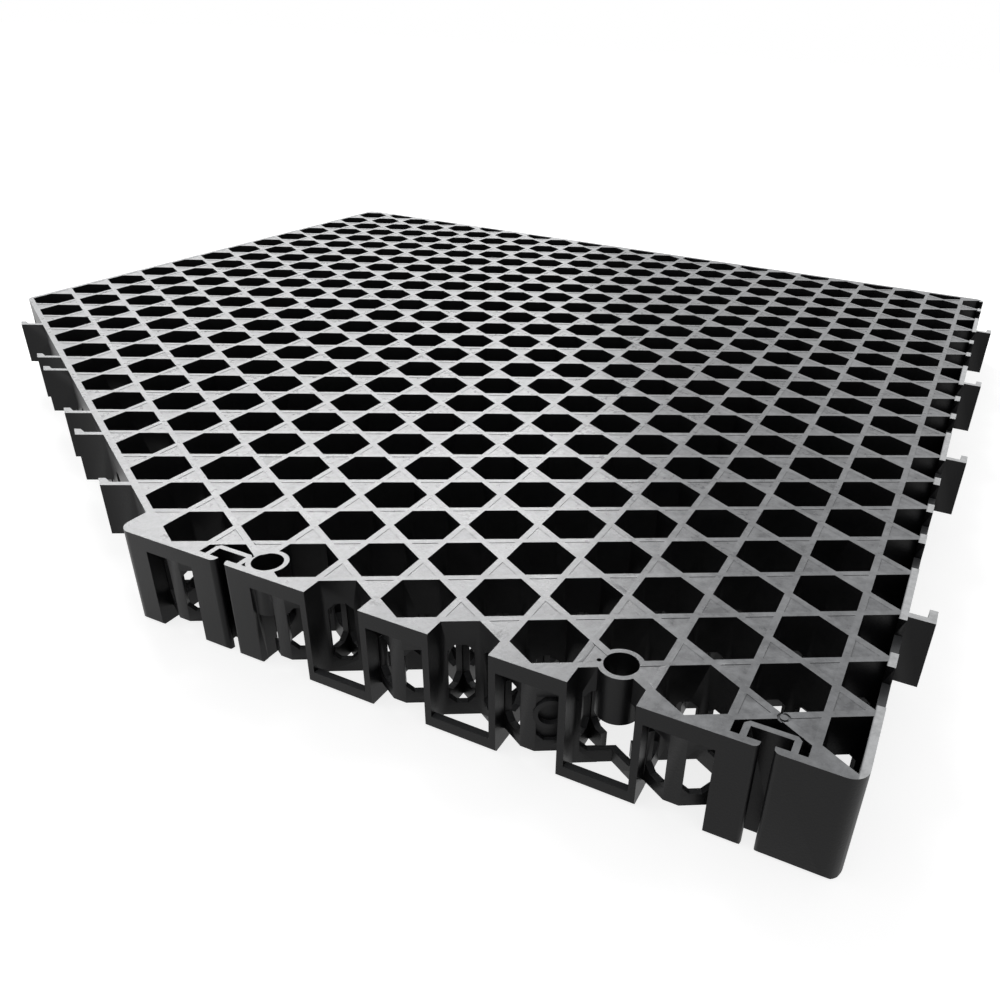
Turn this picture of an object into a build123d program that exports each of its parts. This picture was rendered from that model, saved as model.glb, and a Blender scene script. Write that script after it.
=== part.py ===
import os
from math import cos, radians, sin, sqrt

from build123d import *

# Moulded drainage cell: one panel of six-sided drain holes set corner to corner,
# hollow three-sided lands between them, one corner left off on a slant.
# Before the final shift, X = 0 is the right-hand column of holes and Y = 0 the front row.

# Drain-hole lattice
hole_pitch = 25.0
hole_neck = 2.5
column_steps = 22
row_count = 19
cut_column = 11

# Heights and walls
height = 35.0
plate_thickness = 3.0
rib_thickness = 2.2
rim_width = 2.5
least_cover = 2.0
right_wall = 2.4
back_wall = 2.4
right_wall_drop = 6.0

# Front edge: rails over the lands, rails under the open notches
top_rail = 5.5
bottom_rail = 4.5
rail_thickness = 2.4
land_lift = 5.0

# Windows through the edge walls
window_width = 8.0
window_bottom = 9.0
window_height = 16.0
notch_window_bottom = 4.5
notch_window_height = 22.0

# Hooks on the right-hand wall
hook_rows = (3, 8, 12, 16)
hook_reach = 8.0
hook_lip = 6.0
hook_thickness = 2.5
hook_height = 24.0
web_angle = 0.0
lip_angle = 90.0

# Hooks along the slanted edge, as distances in pitches from its first hole
slant_hook_places = (0.7, 2.7, 3.7, 6.0, 6.8, 9.1)
slant_hook_reach = 10.0
slant_hook_lip = 5.0
slant_hook_height = 20.0
slant_web_angle = 210.0
slant_lip_angle = 150.0

# T-slots in the front wall
slot_columns = (1, 9)
slot_gap = 3.6
slot_width = 11.0
slot_depth = 4.2
slot_wall = 1.8

# Ring bosses behind the front edge, as column, then pitches to the right and in from the front row
ring_places = ((3, 0.0, 0.5), (9, 0.52, 0.26))
ring_bore = 10.0
ring_wall = 1.6
ring_height = 16.0

corner_radius = 5.0
cut_overlap = 1.0

# Values that follow from the sizes above
root3 = sqrt(3.0)
hole_radius = (hole_pitch - hole_neck) / 2.0
hole_half_width = hole_radius * root3 / 2.0
column_step = hole_pitch * root3 / 2.0
land_centre = hole_pitch / root3
pocket_inradius = land_centre - hole_half_width - rib_thickness
edge_margin = hole_neck / 2.0
panel_depth = row_count * hole_pitch
border_depth = hole_pitch + hole_neck
front_face = -edge_margin
back_face = panel_depth + back_wall
slant_offset = hole_half_width + rim_width
left_column = -column_steps * column_step
left_face = left_column - slant_offset
cut_face = -cut_column * column_step
pocket_top = height - plate_thickness
edge_normals = (0, 60, 120, 180, 240, 300)
back_normal = 90


def column_x(column):
    return -column * column_step


def hole_y(column, row):
    return (row + (0.5 if column % 2 == 0 else 0.0)) * hole_pitch


def slant_y(x):
    """Height in plan of the slanted edge above a given X."""
    start_x = cut_face - slant_offset / 2.0
    start_y = hole_pitch - slant_offset * root3 / 2.0
    return start_y + (start_x - x) / root3


def is_present(column, row):
    first_y = hole_pitch * (1.0 + (column - cut_column) / 2.0)
    return column < cut_column or hole_y(column, row) > first_y - edge_margin


def depth_inside(x, y):
    """Distance from a point to the nearest straight edge of the panel."""
    slant = (y - slant_y(x)) * root3 / 2.0
    return min(right_wall - x, x - left_face, y - front_face, back_face - y, slant)


def wire(points, z=0.0):
    return Wire.make_polygon([Vector(x, y, z) for x, y in points], close=True)


def prism(points, low, high):
    return extrude(Face(wire(points, low)), amount=high - low, dir=(0, 0, 1))


def block(x0, x1, y0, y1, low, high):
    return prism([(x0, y0), (x1, y0), (x1, y1), (x0, y1)], low, high)


def hexagon(x, y):
    half_radius = hole_radius / 2.0
    return [
        (x, y + hole_radius),
        (x - hole_half_width, y + half_radius),
        (x - hole_half_width, y - half_radius),
        (x, y - hole_radius),
        (x + hole_half_width, y - half_radius),
        (x + hole_half_width, y + half_radius),
    ]


def half_hexagon(y):
    return [
        (0.0, y + hole_radius),
        (-hole_half_width, y + hole_radius / 2.0),
        (-hole_half_width, y - hole_radius / 2.0),
        (0.0, y - hole_radius),
    ]


def pocket(x, y, side):
    """Three-sided hollow on one side of a hole, its point away from the hole."""
    middle = x + side * land_centre
    base = middle - side * pocket_inradius
    rise = pocket_inradius * root3
    return [(base, y - rise), (base, y + rise), (middle + side * 2.0 * pocket_inradius, y)]


def back_half_hexagon(x):
    shoulder = panel_depth - hole_radius / 2.0
    return [
        (x - hole_half_width, panel_depth),
        (x - hole_half_width, shoulder),
        (x, panel_depth - hole_radius),
        (x + hole_half_width, shoulder),
        (x + hole_half_width, panel_depth),
    ]


def notch(x):
    """Half hole open through the front face, as outline points from -X to +X."""
    shoulder = hole_radius / 2.0
    return [
        (x - hole_half_width, front_face),
        (x - hole_half_width, shoulder),
        (x, hole_radius),
        (x + hole_half_width, shoulder),
        (x + hole_half_width, front_face),
    ]


def outline():
    points = [(right_wall, front_face), (right_wall, back_face)]
    points += [(left_face, back_face), (left_face, slant_y(left_face))]
    points += [(cut_face, slant_y(cut_face)), (cut_face, front_face)]
    for column in range(cut_column - 2, 0, -2):
        points += notch(column_x(column))
    return points


def window(x, y, angle, near, wall, low, tall):
    """Upright opening through the wall on one side of a hole."""
    half = window_width / 2.0
    profile = [(-half, low), (half, low), (half, low + tall), (-half, low + tall)]
    out = Vector(cos(radians(angle)), sin(radians(angle)), 0)
    start = Vector(x, y, 0) + out * (near - cut_overlap)
    plane = Plane(origin=start, x_dir=(-out.Y, out.X, 0), z_dir=out)
    face = plane.from_local_coords(Face(wire(profile)))
    return extrude(face, amount=wall + 2.0 * cut_overlap, dir=out)


def land_opening(x, side):
    """Half of a land's hollow, open through the front face below its rail."""
    middle = x + side * land_centre
    base = middle - side * pocket_inradius
    tip = middle + side * 2.0 * pocket_inradius
    outside = front_face - cut_overlap
    points = [(base, outside), (base, pocket_inradius * root3), (tip, 0.0), (tip, outside)]
    return prism(points, 0.0, height - top_rail)


def land_gaps(x):
    """Clear space under a rail: in front of a whole hole, and below its lifted walls."""
    reach = column_step - hole_half_width - rib_thickness
    outside = front_face - cut_overlap
    shoulder = (hole_pitch - hole_radius) / 2.0
    under_rail = block(x - reach, x + reach, outside, 0.0, 0.0, height - top_rail)
    under_walls = block(x - reach, x + reach, outside, shoulder, 0.0, land_lift)
    return [under_rail, under_walls]


def open_wall_top(row):
    """Lowered stretch of the right-hand wall beside a half hole."""
    y = hole_y(0, row)
    half = hole_radius - rib_thickness
    low = height - right_wall_drop
    return block(-cut_overlap, right_wall + cut_overlap, y - half, y + half, low, height + cut_overlap)


def hook(start, out_angle, turn_angle, reach, lip, depth):
    """Upright L: a web standing out from an edge and a lip turned back at its end."""
    out = Vector(cos(radians(out_angle)), sin(radians(out_angle)), 0)
    turn = Vector(cos(radians(turn_angle)), sin(radians(turn_angle)), 0)
    left = Vector(-out.Y, out.X, 0)
    across = left * (hook_thickness / 2.0 if left.dot(turn) > 0 else -hook_thickness / 2.0)
    root = start - out * rim_width / 2.0
    tip = start + out * reach
    inner = tip - out * hook_thickness
    end = turn * lip
    profile = [root - across, tip - across, tip + end, inner + end, inner + across, root + across]
    return prism([(point.X, point.Y) for point in profile], height - depth, height)


def slot(x):
    """Front panels either side of a gap, and the C-shaped channel wall behind them."""
    back = front_face + rail_thickness
    half = hole_half_width + rib_thickness / 2.0
    channel = slot_width / 2.0
    end = back + slot_depth + slot_wall
    panels = block(x - half, x + half, front_face, back, 0.0, height)
    outer = block(x - channel - slot_wall, x + channel + slot_wall, front_face, end, 0.0, height)
    inner = block(x - channel, x + channel, back, back + slot_depth, -cut_overlap, height + cut_overlap)
    mouth = slot_gap / 2.0
    below, above = -cut_overlap, height + cut_overlap
    gap = block(x - mouth, x + mouth, front_face - cut_overlap, back + cut_overlap, below, above)
    return panels.fuse(outer).cut(inner, gap)


def bottom_rail_block(x):
    half = hole_half_width + rib_thickness / 2.0
    return block(x - half, x + half, front_face, front_face + rail_thickness, 0.0, bottom_rail)


def round_bar(radius, x, y, low, high):
    circle = Wire.make_circle(radius, Plane((x, y, low)))
    return extrude(Face(circle), amount=high - low, dir=(0, 0, 1))


# Holes, hollows and the edge columns
all_holes = [
    (column, row)
    for column in range(1, column_steps + 1)
    for row in range(row_count)
    if is_present(column, row) and not (column % 2 == 1 and row == 0)
]
front_notches = range(1, cut_column, 2)
back_columns = range(1, column_steps, 2)
front_lands = range(2, cut_column, 2)
slant_holes = [
    (column, row)
    for column, row in all_holes
    if column >= cut_column and not is_present(column, row - 1)
]


def least_depth(points):
    return min(depth_inside(*point) for point in points)


centres = [(column_x(column), hole_y(column, row)) for column, row in all_holes]
edge_holes = [hexagon(*centre) for centre in centres if least_depth([centre]) < border_depth]
field_holes = [hexagon(*centre) for centre in centres if least_depth([centre]) >= border_depth]
all_pockets = [
    pocket(column_x(column), hole_y(column, row), side)
    for column in range(column_steps + 2)
    for row in range(row_count + 1)
    for side in (-1, 1)
]
edge_pockets = [points for points in all_pockets if least_cover < least_depth(points) < border_depth]

# Border: the panel with its outer rows of holes and hollows
side_holes = [half_hexagon(hole_y(0, row)) for row in range(row_count)]
side_holes += [back_half_hexagon(column_x(column)) for column in back_columns]
border_plan = Face(wire(outline()), [wire(points) for points in edge_holes + side_holes])
border = extrude(border_plan, amount=height, dir=(0, 0, 1))
corners = [(right_wall, front_face), (right_wall, back_face), (left_face, back_face)]
corners += [(left_face, slant_y(left_face)), (cut_face, front_face)]
corner_edges = [
    edge
    for edge in border.edges().filter_by(Axis.Z)
    if any(abs(edge.center().X - x) + abs(edge.center().Y - y) < least_cover for x, y in corners)
]
border = border.fillet(corner_radius, corner_edges)

# Walls with windows: distance from the hole's centre, thickness, sill and height of the window
land_wall = (hole_half_width, rib_thickness, window_bottom, window_height)
notch_wall = (hole_half_width, rib_thickness, notch_window_bottom, notch_window_height)
rim_wall = (hole_half_width, rim_width, window_bottom, window_height)
side_wall = (0.0, right_wall, window_bottom, window_height)
rear_wall = (0.0, back_wall, window_bottom, window_height)

cuts = [prism(points, 0.0, pocket_top) for points in edge_pockets]
for column in front_notches:
    cuts.append(land_opening(column_x(column), -1))
    cuts.append(land_opening(column_x(column + 2), 1))
    cuts += [window(column_x(column), 0.0, angle, *notch_wall) for angle in edge_normals[1:3]]
for column in front_lands:
    first_y = hole_y(column, 0)
    cuts += land_gaps(column_x(column))
    cuts += [window(column_x(column), first_y, angle, *land_wall) for angle in edge_normals[4:6]]
for column in back_columns:
    cuts.append(window(column_x(column), panel_depth, back_normal, *rear_wall))
for row in range(row_count):
    cuts.append(window(0.0, hole_y(0, row), edge_normals[0], *side_wall))
    if row not in hook_rows and row > 0:
        cuts.append(open_wall_top(row))
for column, row in slant_holes:
    cuts.append(window(column_x(column), hole_y(column, row), edge_normals[4], *rim_wall))
for column, row in all_holes:
    if column == column_steps:
        side_y = hole_y(column, row)
        cuts.append(window(left_column, side_y, edge_normals[3], *rim_wall))

additions = [slot(column_x(column)) for column in slot_columns]
open_notches = [column for column in front_notches if column not in slot_columns]
additions += [bottom_rail_block(column_x(column)) for column in open_notches]
for row in hook_rows:
    start = Vector(right_wall, row * hole_pitch, 0)
    additions.append(hook(start, web_angle, lip_angle, hook_reach, hook_lip, hook_height))
for place in slant_hook_places:
    x = cut_face - slant_offset / 2.0 - place * hole_pitch * root3 / 2.0
    start = Vector(x, slant_y(x), 0)
    shape = (slant_web_angle, slant_lip_angle, slant_hook_reach, slant_hook_lip, slant_hook_height)
    additions.append(hook(start, *shape))
boss_radius = ring_bore / 2.0 + ring_wall
bores = []
for column, right, inward in ring_places:
    x = column_x(column) + right * hole_pitch
    y = inward * hole_pitch
    additions.append(round_bar(boss_radius, x, y, height - ring_height, height))
    bores.append(round_bar(ring_bore / 2.0, x, y, -cut_overlap, height + cut_overlap))
border = border.cut(*cuts).fuse(*additions).cut(*bores)

# Field: the inner holes, worked through the border's top and bottom faces
level_faces = border.faces().filter_by(Axis.Z).sort_by(SortBy.AREA)
bottom, top = sorted(level_faces[-2:], key=lambda face: face.center().Z)
floor_loops = [wire(points) for points in field_holes]
top_loops = [wire(points, height) for points in field_holes]
skin = [face for face in border.faces() if not (face.is_same(top) or face.is_same(bottom))]
skin.append(Face(top.outer_wire(), list(top.inner_wires()) + top_loops))
skin.append(Face(bottom.outer_wire(), list(bottom.inner_wires()) + floor_loops))
for loop in floor_loops:
    skin += Shell.extrude(loop, Vector(0, 0, height)).faces()
cell = Solid(Shell(skin))

box = cell.bounding_box()
cell = cell.moved(Location((-box.center().X, -box.center().Y, 0)))
os.makedirs("parts", exist_ok=True)
export_step(cell, "parts/drainage_cell.step")
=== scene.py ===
import math

import bmesh
import bpy
from mathutils import Matrix, Vector


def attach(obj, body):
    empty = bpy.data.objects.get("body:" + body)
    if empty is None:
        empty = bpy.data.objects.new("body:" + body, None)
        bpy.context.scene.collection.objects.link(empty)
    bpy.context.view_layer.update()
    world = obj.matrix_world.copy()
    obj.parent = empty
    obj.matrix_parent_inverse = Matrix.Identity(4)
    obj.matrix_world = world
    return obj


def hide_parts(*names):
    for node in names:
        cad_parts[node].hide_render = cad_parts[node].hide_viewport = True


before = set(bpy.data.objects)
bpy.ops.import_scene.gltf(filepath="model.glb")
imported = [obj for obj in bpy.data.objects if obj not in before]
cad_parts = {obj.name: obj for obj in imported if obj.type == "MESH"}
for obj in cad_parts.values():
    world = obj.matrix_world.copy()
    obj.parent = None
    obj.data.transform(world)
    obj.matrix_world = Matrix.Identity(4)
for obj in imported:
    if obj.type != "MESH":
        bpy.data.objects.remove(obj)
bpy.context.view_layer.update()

node = "drainage_cell"
mm = 0.001

# Lattice, walls and edge fittings of the cell, in millimetres, as in the part's source
cell = {
    "pitch": 25.0, "neck": 2.5, "columns": 22, "rows": 19, "cutColumn": 11,
    "height": 35.0, "plate": 3.0, "rib": 2.2, "rim": 2.5, "sideWall": 2.4, "cover": 2.0, "rail": 2.4,
    "hookReach": 8.0,
    "slotColumns": (1, 9), "slotGap": 3.6, "slotWidth": 11.0, "slotDepth": 4.2, "slotWall": 1.8,
    "rings": ((3, 0.0, 0.5), (9, 0.52, 0.26)),  # column, then pitches to the right and inwards
    "ringRadius": 6.6, "ringHeight": 16.0,
    "windowWidth": 8.0, "landWindow": (9.0, 25.0), "notchWindow": (4.5, 26.5),  # sill and head
}
# Fine shapes that only the visual has
fine = {
    "windowChamfer": 2.4, "innerWindow": (6.0, 22.0), "sink": 0.12, "footChamfer": 0.8,
    "rimBevel": 0.4, "bevelAngle": 50, "sharpAngle": 28,
    "mouthRadius": 1.7, "mouthSteps": 5, "loopChamfer": 1.3,
    "overlap": 0.05, "clear": 1.0, "touch": 0.01, "weld": 0.002,
    "pin": (1.8, 1.05, 0.5), "pinPlace": (1.2, 12.4), "pinColumn": 1, "pinSteps": 20,
    "pit": (0.7, 1.2), "pitPlace": (-6.1, 11.4), "pitColumn": 3, "pitSteps": 12,
    "ringWindow": (3.6, 5.0, 19.0), "ringWindowColumn": 4, "ringWindowAngle": 300,
    "ringWindowSteps": 24, "ringProud": 0.6, "ringBacking": 0.8,
}
pitch = cell["pitch"]
root3 = math.sqrt(3.0)
holeRadius = (pitch - cell["neck"]) / 2
holeHalf = holeRadius * root3 / 2
columnStep = pitch * root3 / 2
landCentre = pitch / root3
pocketInradius = landCentre - holeHalf - cell["rib"]
margin = cell["neck"] / 2
panelDepth = cell["rows"] * pitch
borderDepth = pitch + cell["neck"]
slantOffset = holeHalf + cell["rim"]
frontFace, backFace = -margin, panelDepth + cell["sideWall"]
rightFace = cell["sideWall"]
leftFace = -cell["columns"] * columnStep - slantOffset
cutFace = -cell["cutColumn"] * columnStep
shiftX = -(leftFace + rightFace + cell["hookReach"]) / 2
shiftY = -(frontFace + backFace) / 2
top = cell["height"]


def columnX(column):
    return -column * columnStep


def holeY(column, row):
    return (row + (0.5 if column % 2 == 0 else 0.0)) * pitch


def slantY(x):
    startX = cutFace - slantOffset / 2
    return pitch - slantOffset * root3 / 2 + (startX - x) / root3


def isPresent(column, row):
    firstY = pitch * (1 + (column - cell["cutColumn"]) / 2)
    return column < cell["cutColumn"] or holeY(column, row) > firstY - margin


def depthInside(x, y):
    slant = (y - slantY(x)) * root3 / 2
    return min(rightFace - x, x - leftFace, y - frontFace, backFace - y, slant)


class Prisms:
    def __init__(self):
        self.points = []
        self.faces = []

    def add(self, near, far):
        start, count = len(self.points), len(near)
        self.points += [((x + shiftX) * mm, (y + shiftY) * mm, z * mm) for x, y, z in near + far]
        self.faces.append([start + i for i in reversed(range(count))])
        self.faces.append([start + count + i for i in range(count)])
        for i in range(count):
            j = (i + 1) % count
            self.faces.append([start + i, start + j, start + count + j, start + count + i])

    def upright(self, plan, low, high):
        self.add([(x, y, low) for x, y in plan], [(x, y, high) for x, y in plan])

    def through(self, x, y, angle, low, high, profile):
        outX, outY = math.cos(math.radians(angle)), math.sin(math.radians(angle))
        near, far = (
            [(x + outX * d - outY * s, y + outY * d + outX * s, z) for s, z in profile]
            for d in (low, high)
        )
        self.add(near, far)

    def build(self, name):
        mesh = bpy.data.meshes.new(name)
        mesh.from_pydata(self.points, [], self.faces)
        shape = bmesh.new()
        shape.from_mesh(mesh)
        bmesh.ops.recalc_face_normals(shape, faces=shape.faces)
        shape.to_mesh(mesh)
        shape.free()
        made = bpy.data.objects.new(name, mesh)
        bpy.context.scene.collection.objects.link(made)
        return made


def circle(x, y, radius, count):
    turns = (2 * math.pi * i / count for i in range(count))
    return [(x + radius * math.cos(t), y + radius * math.sin(t)) for t in turns]


half = cell["windowWidth"] / 2
cut = fine["windowChamfer"]
clear, over = fine["clear"], fine["overlap"]


def windowProfile(low, high):
    return [
        (-half + cut, low), (half - cut, low), (half, low + cut), (half, high - cut),
        (half - cut, high), (-half + cut, high), (-half, high - cut), (-half, low + cut),
    ]


# Hollows under the inner lands, windows through the inner walls, sunk panels on the lands
hollows, windows, panels = Prisms(), Prisms(), Prisms()
windowStart = half / root3 + over
for column in range(cell["columns"] + 2):
    for row in range(cell["rows"] + 1):
        for side in (-1, 1):
            x, y = columnX(column) + side * landCentre, holeY(column, row)
            rise = pocketInradius * root3
            base, tip = x - side * pocketInradius, x + side * 2 * pocketInradius
            corners = [(base, y - rise), (base, y + rise), (tip, y)]
            depth = min(depthInside(*corner) for corner in corners)
            if depth <= cell["cover"]:
                continue
            if depth >= borderDepth:
                hollows.upright(corners, -clear, top - cell["plate"])
            panels.upright(corners, top - fine["sink"], top + clear)
            for angle in ((180, 60, 300) if side > 0 else (0, 120, 240)):
                holeX = x + landCentre * math.cos(math.radians(angle))
                holeAt = y + landCentre * math.sin(math.radians(angle))
                if holeAt < margin or depthInside(holeX, holeAt) < 0:
                    continue
                reach = pocketInradius + cell["rib"] + clear
                profile = windowProfile(*fine["innerWindow"])
                windows.through(x, y, angle, windowStart, reach, profile)
print("cutters ready", len(hollows.faces), len(windows.faces), len(panels.faces))


# Rounded mouths of the slots, eased corners of their loops, a chamfer round the foot of the walls
def roundEdge(prisms, x, side, radius):  # the wall runs on from x towards side
    count = fine["mouthSteps"]
    arc = [
        (x + side * radius * (1 - math.cos(t)), frontFace + radius * (1 - math.sin(t)))
        for t in (math.pi / 2 * i / count for i in range(count, -1, -1))
    ]
    outside = [(x - side * over, frontFace + radius), (x - side * over, frontFace - clear)]
    outside.append((x + side * radius, frontFace - clear))
    prisms.upright(arc + outside, -clear, top + clear)


def chamferFoot(prisms, start, end, out):
    size = fine["footChamfer"]
    section = [(clear, -clear), (clear, size + clear), (-size - clear, -clear)]
    near, far = (
        [(x + out[0] * d, y + out[1] * d, z) for d, z in section]
        for x, y in (start, end)
    )
    prisms.add(near, far)


mouths, loops, feet = Prisms(), Prisms(), Prisms()
for column in cell["slotColumns"]:
    x = columnX(column)
    for side in (-1, 1):
        roundEdge(mouths, x + side * cell["slotGap"] / 2, side, fine["mouthRadius"])
        edge = x + side * (cell["slotWidth"] / 2 + cell["slotWall"] + over)
        back = frontFace + cell["rail"] + cell["slotDepth"] + cell["slotWall"] + over
        size = fine["loopChamfer"]
        corner = [(edge, back), (edge - side * size, back), (edge, back - size)]
        loops.upright(corner, -clear, top + clear)
plan = [
    (rightFace, frontFace), (rightFace, backFace), (leftFace, backFace),
    (leftFace, slantY(leftFace)), (cutFace, slantY(cutFace)), (cutFace, frontFace),
]
outwards = [(1, 0), (0, 1), (-1, 0), (-0.5, -root3 / 2), (-1, 0), (0, -1)]
for i, out in enumerate(outwards):
    chamferFoot(feet, plan[i], plan[(i + 1) % len(plan)], out)

# A moulding pin's mark behind the right-hand slot and a pit beside the right-hand ring
marks, pins = Prisms(), Prisms()
pinOuter, pinInner, pinDepth = fine["pin"]
pinX, pinY = columnX(fine["pinColumn"]) + fine["pinPlace"][0], fine["pinPlace"][1]
steps = fine["pinSteps"]
marks.upright(circle(pinX, pinY, pinOuter, steps), top - pinDepth, top + clear)
pins.upright(circle(pinX, pinY, pinInner, steps), top - pinDepth - over, top - over)
pitX, pitY = columnX(fine["pitColumn"]) + fine["pitPlace"][0], fine["pitPlace"][1]
pitRadius, pitDepth = fine["pit"]
marks.upright(circle(pitX, pitY, pitRadius, fine["pitSteps"]), top - pitDepth, top + clear)

# The cell's mesh, copied from the CAD node, welded and then cut
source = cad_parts[node]
body = bpy.data.objects.new("cellBody", source.data.copy())
bpy.context.scene.collection.objects.link(body)
shape = bmesh.new()
shape.from_mesh(body.data)
bmesh.ops.remove_doubles(shape, verts=shape.verts, dist=fine["weld"] * mm)
bmesh.ops.recalc_face_normals(shape, faces=shape.faces)
shape.to_mesh(body.data)
shape.free()
body.data.materials.clear()


def applyModifiers(target):
    view = bpy.context.evaluated_depsgraph_get()
    mesh = bpy.data.meshes.new_from_object(target.evaluated_get(view))
    target.modifiers.clear()
    target.data = mesh


def carve(name, prisms):
    cutter = prisms.build(name)
    step = body.modifiers.new(name, "BOOLEAN")
    step.operation = "DIFFERENCE"
    step.solver = "MANIFOLD"
    step.object = cutter
    before = len(body.data.polygons)
    applyModifiers(body)
    bpy.data.objects.remove(cutter)
    print(name, "cut, faces", before, "to", len(body.data.polygons))


carve("hollows", hollows)
carve("windows", windows)
carve("feet", feet)
carve("loops", loops)
carve("mouths", mouths)

# Chamfered corners in the windows of the outer walls
fillers = Prisms()
outerWindows = []
landWall = (holeHalf, cell["rib"], *cell["landWindow"])
notchWall = (holeHalf, cell["rib"], *cell["notchWindow"])
rimWall = (holeHalf, cell["rim"], *cell["landWindow"])
edgeWall = (0.0, cell["sideWall"], *cell["landWindow"])
for column in range(1, cell["cutColumn"], 2):
    outerWindows += [(columnX(column), 0.0, angle, *notchWall) for angle in (60, 120)]
for column in range(2, cell["cutColumn"], 2):
    outerWindows += [(columnX(column), pitch / 2, angle, *landWall) for angle in (240, 300)]
for column in range(1, cell["columns"], 2):
    outerWindows.append((columnX(column), panelDepth, 90, *edgeWall))
for row in range(cell["rows"]):
    outerWindows.append((0.0, holeY(0, row), 0, *edgeWall))
    for column in range(1, cell["columns"] + 1):
        if not isPresent(column, row) or (column % 2 == 1 and row == 0):
            continue
        if column >= cell["cutColumn"] and not isPresent(column, row - 1):
            outerWindows.append((columnX(column), holeY(column, row), 240, *rimWall))
        if column == cell["columns"]:
            outerWindows.append((columnX(column), holeY(column, row), 180, *rimWall))
ringAxes = [
    (columnX(column) + right * pitch, inward * pitch)
    for column, right, inward in cell["rings"]
]


def nearRing(x, y):
    reach = cell["ringRadius"] + cut
    return any(math.hypot(x - ringX, y - ringY) < reach for ringX, ringY in ringAxes)


for x, y, angle, near, wall, low, high in outerWindows:
    outX, outY = math.cos(math.radians(angle)), math.sin(math.radians(angle))
    for s, ds in ((-half, 1), (half, -1)):
        if nearRing(x + near * outX - s * outY, y + near * outY + s * outX):
            continue
        for z, dz in ((low, 1), (high, -1)):
            edgeS, edgeZ = s - ds * over, z - dz * over
            corner = [(edgeS, edgeZ), (s + ds * cut, edgeZ), (edgeS, z + dz * cut)]
            fillers.through(x, y, angle, near + over / 2, near + wall - over / 2, corner)


# The front window that is closed behind a raised round edge
def ringWindow(prisms, column, angle):
    hole, edge, height = fine["ringWindow"]
    low, high = cell["landWindow"][0] - over, cell["landWindow"][1] + over
    x, y = columnX(column), pitch / 2
    back, front = holeHalf + over, holeHalf + cell["rib"]
    side = half + over
    sheet = [(-side, low), (side, low), (side, high), (-side, high)]
    prisms.through(x, y, angle, back, back + fine["ringBacking"], sheet)
    count = fine["ringWindowSteps"]
    for i in range(count):
        turns = [2 * math.pi * k / count for k in (i, i + 1)]
        rim = [(hole * math.cos(t), height + hole * math.sin(t)) for t in turns]
        lip = [(edge * math.cos(t), height + edge * math.sin(t)) for t in turns]
        prisms.through(x, y, angle, back, front + fine["ringProud"], [*rim, *reversed(lip)])


ringWindow(fillers, fine["ringWindowColumn"], fine["ringWindowAngle"])


# Walls that run on below the two ring bosses
def wallPiece(prisms, column, angle, along, levels):
    (s0, s1), (z0, z1) = along, levels
    block = [(s0, z0), (s1, z0), (s1, z1), (s0, z1)]
    near, far = holeHalf + over, holeHalf + cell["rib"] - over
    prisms.through(columnX(column), 0.0, angle, near, far, block)


sill, underBoss = cell["notchWindow"][0] - over, top - cell["ringHeight"]
edgeHalf = holeRadius / 2
mitred = edgeHalf + cell["rib"] / root3
rightColumn, leftColumn = (ring[0] for ring in cell["rings"])
wallPiece(fillers, rightColumn, 60, (-edgeHalf, mitred), (over, sill))
wallPiece(fillers, rightColumn, 120, (-mitred, edgeHalf), (over, sill - over))
wallPiece(fillers, leftColumn, 60, (-mitred, edgeHalf), (over, sill))
wallPiece(fillers, leftColumn, 60, (-mitred, -half), (over, underBoss))
wallPiece(fillers, leftColumn, 0, (frontFace + cell["rail"], mitred), (over, underBoss - over))
extras = [fillers.build("fillers"), pins.build("pins")]

# Small bevels along the top rims and the upright edges of the front
shape = bmesh.new()
shape.from_mesh(body.data)
weights = shape.edges.layers.float.new("bevel_weight_edge")
frontLine = (frontFace + shiftY + fine["touch"]) * mm
topLine = (top - fine["touch"]) * mm
steep = math.radians(fine["bevelAngle"])
for edge in shape.edges:
    level = all(v.co.z > topLine for v in edge.verts)
    upright = all(v.co.y < frontLine for v in edge.verts)
    if (level or upright) and len(edge.link_faces) == 2 and edge.calc_face_angle(0.0) > steep:
        edge[weights] = 1.0
shape.to_mesh(body.data)
shape.free()
step = body.modifiers.new("rims", "BEVEL")
step.limit_method = "WEIGHT"
step.width = fine["rimBevel"] * mm
step.segments = 1
step.use_clamp_overlap = True
applyModifiers(body)
carve("panels", panels)
carve("marks", marks)
shape = bmesh.new()
shape.from_mesh(body.data)
for extra in extras:
    shape.from_mesh(extra.data)
    bpy.data.objects.remove(extra)
shape.to_mesh(body.data)
shape.free()
for polygon in body.data.polygons:
    polygon.use_smooth = True
body.data.set_sharp_from_angle(angle=math.radians(fine["sharpAngle"]))
step = body.modifiers.new("normals", "WEIGHTED_NORMAL")
step.keep_sharp = True
step.weight = 100
applyModifiers(body)
print("cell mesh", sum(len(p.vertices) - 2 for p in body.data.polygons), "triangles")
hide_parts(node)
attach(body, "root")

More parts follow.
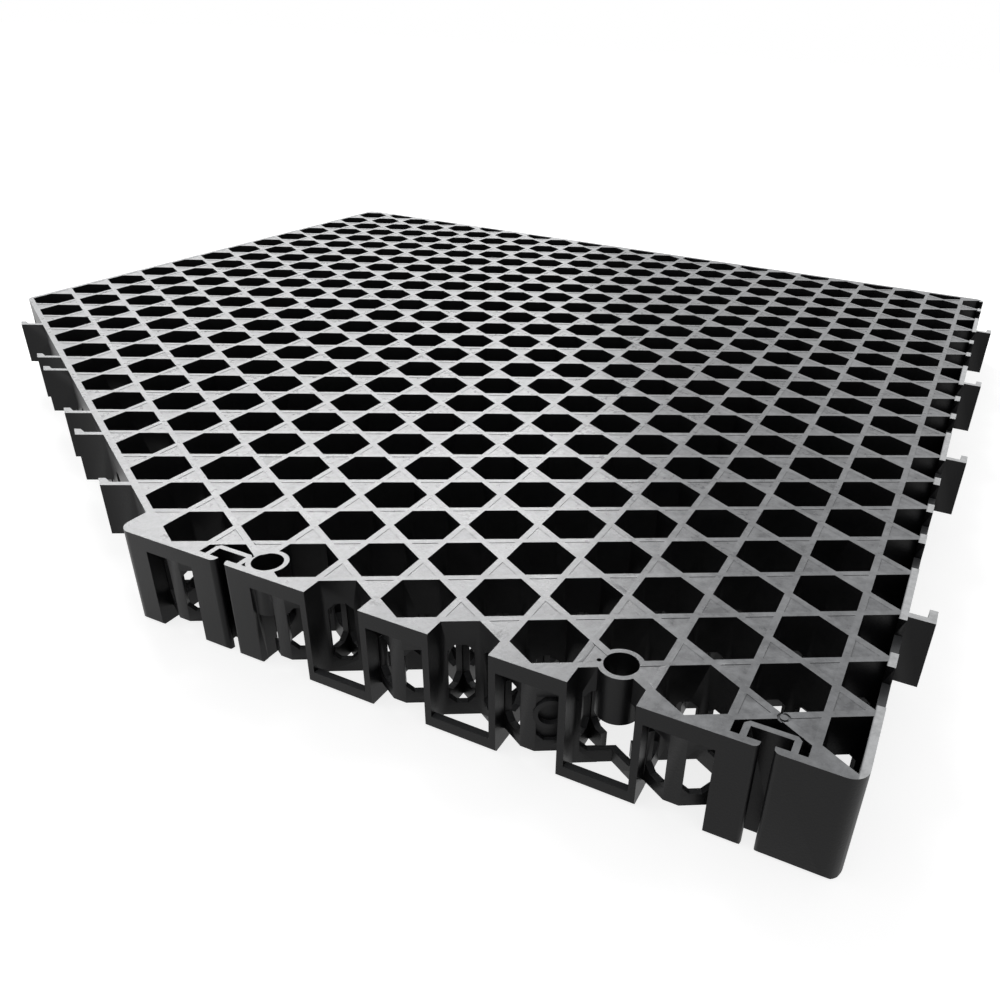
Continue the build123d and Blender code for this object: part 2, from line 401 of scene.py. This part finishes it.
# Black moulded plastic: near black in the walls, rubbed and greyer on the top faces, with a painted
# highlight on the raised rims and painted light on every upward-facing ledge
plastic = {
    # the worn grey also paints light on the upward-facing ledges
    "wall": (0.004, 0.004, 0.0045, 1), "wornAndLedgeLight": (0.096, 0.098, 0.102, 1),
    # the rubbed grey is also the painted highlight on the raised rims
    "rubbedAndRimHighlight": (0.185, 0.189, 0.195, 1), "pad": (0.38, 0.385, 0.39, 1), "padWidth": 2.4, "padBlur": 0.4,
    "ior": 1.5, "specular": 0.2, "roughTop": (0.24, 0.36), "roughWall": 0.4,
    "topLine": (33.2, 34.2), "topFacing": (0.4, 0.9), "ledgeLightFacing": (0.5, 0.9),
    "rimHighlightShare": 0.35, "rimHighlightSpan": (0.3, 0.8), "ledgeLightShare": 0.5,
    "blotch": (60, 6, 0.6), "speck": (420, 4, 0.65), "grain": (1500, 3, 0.55),
    "cloud": (260, 5, 0.6), "tear": (700, 3, 0.7),  # noise: scale, detail, roughness
    "wearSpan": (0.4, 0.62), "roughSpan": (0.35, 0.65), "tearSpan": (0.45, 0.58),
    "speckSpan": (0.3, 0.6), "speckShare": (0.7, 1.0), "bumpStrength": 0.15, "bumpDepth": 0.3,
    "scuff": (0.012, 0.012, 0.013, 1), "scuffSize": 3.4, "scuffCore": 0.3,
    "scuffs": ((10.2, 3.0), (6.47, 5.0), (4.63, 8.5)),  # column and distance from the front row
}
material = bpy.data.materials.new("mouldedPlastic")
material.use_nodes = True
nodes, links = material.node_tree.nodes, material.node_tree.links
shader = nodes["Principled BSDF"]
shader.inputs["IOR"].default_value = plastic["ior"]
shader.inputs["Specular IOR Level"].default_value = plastic["specular"]
place = nodes.new("ShaderNodeTexCoord")


def noise(scale, detail, rough):
    made = nodes.new("ShaderNodeTexNoise")
    made.inputs["Scale"].default_value = scale
    made.inputs["Detail"].default_value = detail
    made.inputs["Roughness"].default_value = rough
    links.new(place.outputs["Object"], made.inputs["Vector"])
    return made.outputs["Fac"]


def setRange(made, *limits):
    for key, number in zip(("From Min", "From Max", "To Min", "To Max"), limits):
        made.inputs[key].default_value = number


def ramp(value, fromLow, fromHigh, toLow, toHigh):
    made = nodes.new("ShaderNodeMapRange")
    setRange(made, fromLow, fromHigh, toLow, toHigh)
    links.new(value, made.inputs["Value"])
    return made.outputs["Result"]


def calculate(kind, first, second):
    made = nodes.new("ShaderNodeMath")
    made.operation = kind
    for socket, value in zip(made.inputs, (first, second)):
        if isinstance(value, (int, float)):
            socket.default_value = value
        else:
            links.new(value, socket)
    return made.outputs["Value"]


def blendColour(factor, first, second):
    made = nodes.new("ShaderNodeMix")
    made.data_type = "RGBA"
    links.new(factor, made.inputs["Factor"])
    for key, value in (("A", first), ("B", second)):
        if isinstance(value, tuple):
            made.inputs[key].default_value = value
        else:
            links.new(value, made.inputs[key])
    return made.outputs["Result"]


split = nodes.new("ShaderNodeSeparateXYZ")
links.new(place.outputs["Object"], split.inputs["Vector"])
facing = nodes.new("ShaderNodeSeparateXYZ")
links.new(place.outputs["Normal"], facing.inputs["Vector"])
lifted = ramp(split.outputs["Z"], *(level * mm for level in plastic["topLine"]), 0.0, 1.0)
facingUp = ramp(facing.outputs["Z"], *plastic["topFacing"], 0.0, 1.0)
upper = calculate("MULTIPLY", facingUp, lifted)
blotch, speck, grain, cloud = (noise(*plastic[key]) for key in ("blotch", "speck", "grain", "cloud"))
wear = calculate("ADD", calculate("MULTIPLY", blotch, 0.5), calculate("MULTIPLY", cloud, 0.5))
wornShare = ramp(wear, *plastic["wearSpan"], 0.0, 1.0)
topWearAndHighlight = blendColour(wornShare, plastic["wornAndLedgeLight"], plastic["rubbedAndRimHighlight"])
# Painted highlight: the raised rims round the sunk panels are painted in the rubbed grey, as where
# their edges catch light
rimHighlightLevels = ((top - fine["sink"] + share * fine["sink"]) * mm for share in plastic["rimHighlightSpan"])
rimHighlight = ramp(split.outputs["Z"], *rimHighlightLevels, 0.0, plastic["rimHighlightShare"])
topWearAndHighlight = blendColour(rimHighlight, topWearAndHighlight, plastic["rubbedAndRimHighlight"])
padLine = (rightFace - plastic["padWidth"] + shiftX) * mm
onPad = ramp(split.outputs["X"], padLine, padLine + plastic["padBlur"] * mm, 0.0, 1.0)
topWearAndHighlight = blendColour(onPad, topWearAndHighlight, plastic["pad"])
for column, y in plastic["scuffs"]:
    distance = nodes.new("ShaderNodeVectorMath")
    distance.operation = "DISTANCE"
    links.new(place.outputs["Object"], distance.inputs[0])
    centre = ((columnX(column) + shiftX) * mm, (y + shiftY) * mm, top * mm)
    distance.inputs[1].default_value = centre
    size = plastic["scuffSize"] * mm
    nearby = ramp(distance.outputs["Value"], plastic["scuffCore"] * size, size, 1.0, 0.0)
    ragged = ramp(noise(*plastic["tear"]), *plastic["tearSpan"], 0.0, 1.0)
    topWearAndHighlight = blendColour(calculate("MULTIPLY", nearby, ragged), topWearAndHighlight, plastic["scuff"])
speckShare = ramp(speck, *plastic["speckSpan"], *plastic["speckShare"])
speckled = calculate("MULTIPLY", speckShare, upper)
# Painted light: every upward-facing surface, such as the rail tops and sills, is blended towards the
# worn grey as if lit from above
ledgeLight = ramp(facing.outputs["Z"], *plastic["ledgeLightFacing"], 0.0, plastic["ledgeLightShare"])
wallWithLedgeLight = blendColour(ledgeLight, plastic["wall"], plastic["wornAndLedgeLight"])
links.new(blendColour(speckled, wallWithLedgeLight, topWearAndHighlight), shader.inputs["Base Color"])
roughTop = ramp(wear, *plastic["roughSpan"], *plastic["roughTop"])
roughness = nodes.new("ShaderNodeMix")
roughness.inputs["A"].default_value = plastic["roughWall"]
links.new(upper, roughness.inputs["Factor"])
links.new(roughTop, roughness.inputs["B"])
links.new(roughness.outputs["Result"], shader.inputs["Roughness"])
bump = nodes.new("ShaderNodeBump")
bump.inputs["Strength"].default_value = plastic["bumpStrength"]
bump.inputs["Distance"].default_value = plastic["bumpDepth"] * mm
links.new(calculate("ADD", grain, blotch), bump.inputs["Height"])
links.new(bump.outputs["Normal"], shader.inputs["Normal"])
body.data.materials.clear()
body.data.materials.append(material)
body.data.polygons.foreach_set("material_index", [0] * len(body.data.polygons))
print("plastic ready")

# Floor, surroundings and light
studio = {
    "floor": (0.4, 0.4, 0.4, 1), "floorRough": 0.9, "floorReach": 6.0, "floorDrop": 0.2,
    "floorGlow": 0.8, "white": (1, 1, 1, 1),
    "bright": (-0.8, 0.6), "dim": 0.45, "full": 1.0, "span": (-0.2, 0.9),  # brighter to the back left
}
floorMesh = bpy.data.meshes.new("floor")
reach = studio["floorReach"]
corners = [(-reach, -reach, 0), (reach, -reach, 0), (reach, reach, 0), (-reach, reach, 0)]
floorMesh.from_pydata(corners, [], [(0, 1, 2, 3)])
floor = bpy.data.objects.new("floor", floorMesh)
floor.location.z = -studio["floorDrop"] * mm
bpy.context.scene.collection.objects.link(floor)


def seenDirectly(tree):  # 1 for camera, glossy and transmission rays
    path = tree.nodes.new("ShaderNodeLightPath")
    seen = path.outputs["Is Camera Ray"]
    for kind in ("Is Glossy Ray", "Is Transmission Ray"):
        either = tree.nodes.new("ShaderNodeMath")
        either.operation = "MAXIMUM"
        tree.links.new(seen, either.inputs[0])
        tree.links.new(path.outputs[kind], either.inputs[1])
        seen = either.outputs["Value"]
    return seen


pale = bpy.data.materials.new("paleFloor")
pale.use_nodes = True
tree = pale.node_tree
ground = tree.nodes["Principled BSDF"]
ground.inputs["Base Color"].default_value = studio["floor"]
ground.inputs["Roughness"].default_value = studio["floorRough"]
ground.inputs["Specular IOR Level"].default_value = 0.0
glow = tree.nodes.new("ShaderNodeMath")
glow.operation = "MULTIPLY"
glow.inputs[1].default_value = studio["floorGlow"]
tree.links.new(seenDirectly(tree), glow.inputs[0])
ground.inputs["Emission Color"].default_value = studio["white"]
tree.links.new(glow.outputs["Value"], ground.inputs["Emission Strength"])
floorMesh.materials.append(pale)

world = bpy.data.worlds.new("studio")
bpy.context.scene.world = world
world.use_nodes = True
sky = world.node_tree
around = sky.nodes["Background"]
around.inputs["Color"].default_value = studio["white"]
heading = sky.nodes.new("ShaderNodeTexCoord")
along = sky.nodes.new("ShaderNodeVectorMath")
along.operation = "DOT_PRODUCT"
along.inputs[1].default_value = (*studio["bright"], 0)
grade = sky.nodes.new("ShaderNodeMapRange")
setRange(grade, *studio["span"], studio["dim"], studio["full"])
sky.links.new(heading.outputs["Generated"], along.inputs[0])
sky.links.new(along.outputs["Value"], grade.inputs["Value"])
sky.links.new(grade.outputs["Result"], around.inputs["Strength"])
plain = sky.nodes.new("ShaderNodeBackground")
plain.inputs["Color"].default_value = studio["white"]
mix = sky.nodes.new("ShaderNodeMixShader")
sky.links.new(seenDirectly(sky), mix.inputs["Fac"])
sky.links.new(around.outputs["Background"], mix.inputs[1])
sky.links.new(plain.outputs["Background"], mix.inputs[2])
sky.links.new(mix.outputs["Shader"], sky.nodes["World Output"].inputs["Surface"])

# Soft panels at the back left, one above another
softPanels = {
    "distance": 1.7, "width": 1.25, "tall": 0.5, "heading": -43.0,
    "lamps": ((14.0, 1.6), (27.0, 6.5), (40.0, 33.0)),  # degrees above the floor, then watts
}
for number, (lift, power) in enumerate(softPanels["lamps"]):
    light = bpy.data.lights.new(f"panel{number}", "AREA")
    light.shape = "RECTANGLE"
    light.size, light.size_y = softPanels["width"], softPanels["tall"]
    light.energy = power
    made = bpy.data.objects.new(light.name, light)
    turn, rise = math.radians(softPanels["heading"]), math.radians(lift)
    level = math.cos(rise)
    towards = Vector((math.sin(turn) * level, math.cos(turn) * level, math.sin(rise)))
    made.location = towards * softPanels["distance"]
    made.rotation_euler = (-towards).to_track_quat("-Z", "Y").to_euler()
    bpy.context.scene.collection.objects.link(made)
print("light and floor ready")

# Camera at the photograph's angle
shot = {
    "azimuth": -23.96, "elevation": 30.16, "roll": 2.72, "distance": 299.42,
    "target": (-4.32805, 2.854),  # in pitches from the lattice's origin
    "focal": 879.8, "centre": (570.0, 528.7), "image": 1000, "sensor": 36, "nearest": 0.01,
}
az, el, roll = (math.radians(shot[key]) for key in ("azimuth", "elevation", "roll"))
forward = Vector((math.sin(az) * math.cos(el), math.cos(az) * math.cos(el), -math.sin(el)))
across = Vector((math.cos(az), -math.sin(az), 0))
upward = across.cross(forward)
right = across * math.cos(roll) + upward * math.sin(roll)
above = upward * math.cos(roll) - across * math.sin(roll)
aim = Vector((
    (shot["target"][0] * pitch + shiftX) * mm,
    (shot["target"][1] * pitch + shiftY) * mm, top * mm,
))
camera = bpy.data.cameras.new("camera")
camera.sensor_width = shot["sensor"]
camera.lens = shot["focal"] / shot["image"] * shot["sensor"]
camera.shift_x = 0.5 - shot["centre"][0] / shot["image"]
camera.shift_y = shot["centre"][1] / shot["image"] - 0.5
camera.clip_start = shot["nearest"]
eye = bpy.data.objects.new("camera", camera)
bpy.context.scene.collection.objects.link(eye)
turn = Matrix((right, above, -forward)).transposed().to_4x4()
eye.matrix_world = Matrix.Translation(aim - forward * shot["distance"] * mm) @ turn
bpy.context.scene.camera = eye
bpy.context.scene.view_settings.view_transform = "Standard"
print("scene ready")
